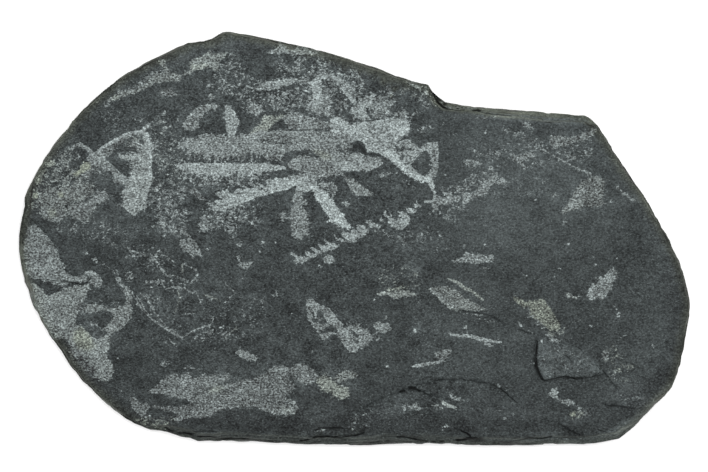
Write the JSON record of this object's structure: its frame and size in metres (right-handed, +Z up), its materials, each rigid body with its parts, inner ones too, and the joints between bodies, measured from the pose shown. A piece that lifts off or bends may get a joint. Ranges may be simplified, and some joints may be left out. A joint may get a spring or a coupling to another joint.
{
  "type": "graptolite fossil slab",
  "caption": "Loose slab of black shale with a cluster of silvery graptolites pressed on its upper face; it lies flat on its back.",
  "frame": {"origin": "middle of the slab's bounding box, on the flat face that it rests on", "axes": "+X along the slab's length, towards its rounded lower end; +Y across it, towards the notched edge; +Z up, out of the fossil face"},
  "size_m": [0.064, 0.0394, 0.0074],
  "materials": {
    "black_shale": "matte"
  },
  "bodies": {
    "root": {"shale_slab": "black_shale"}
  },
  "joints": []
}
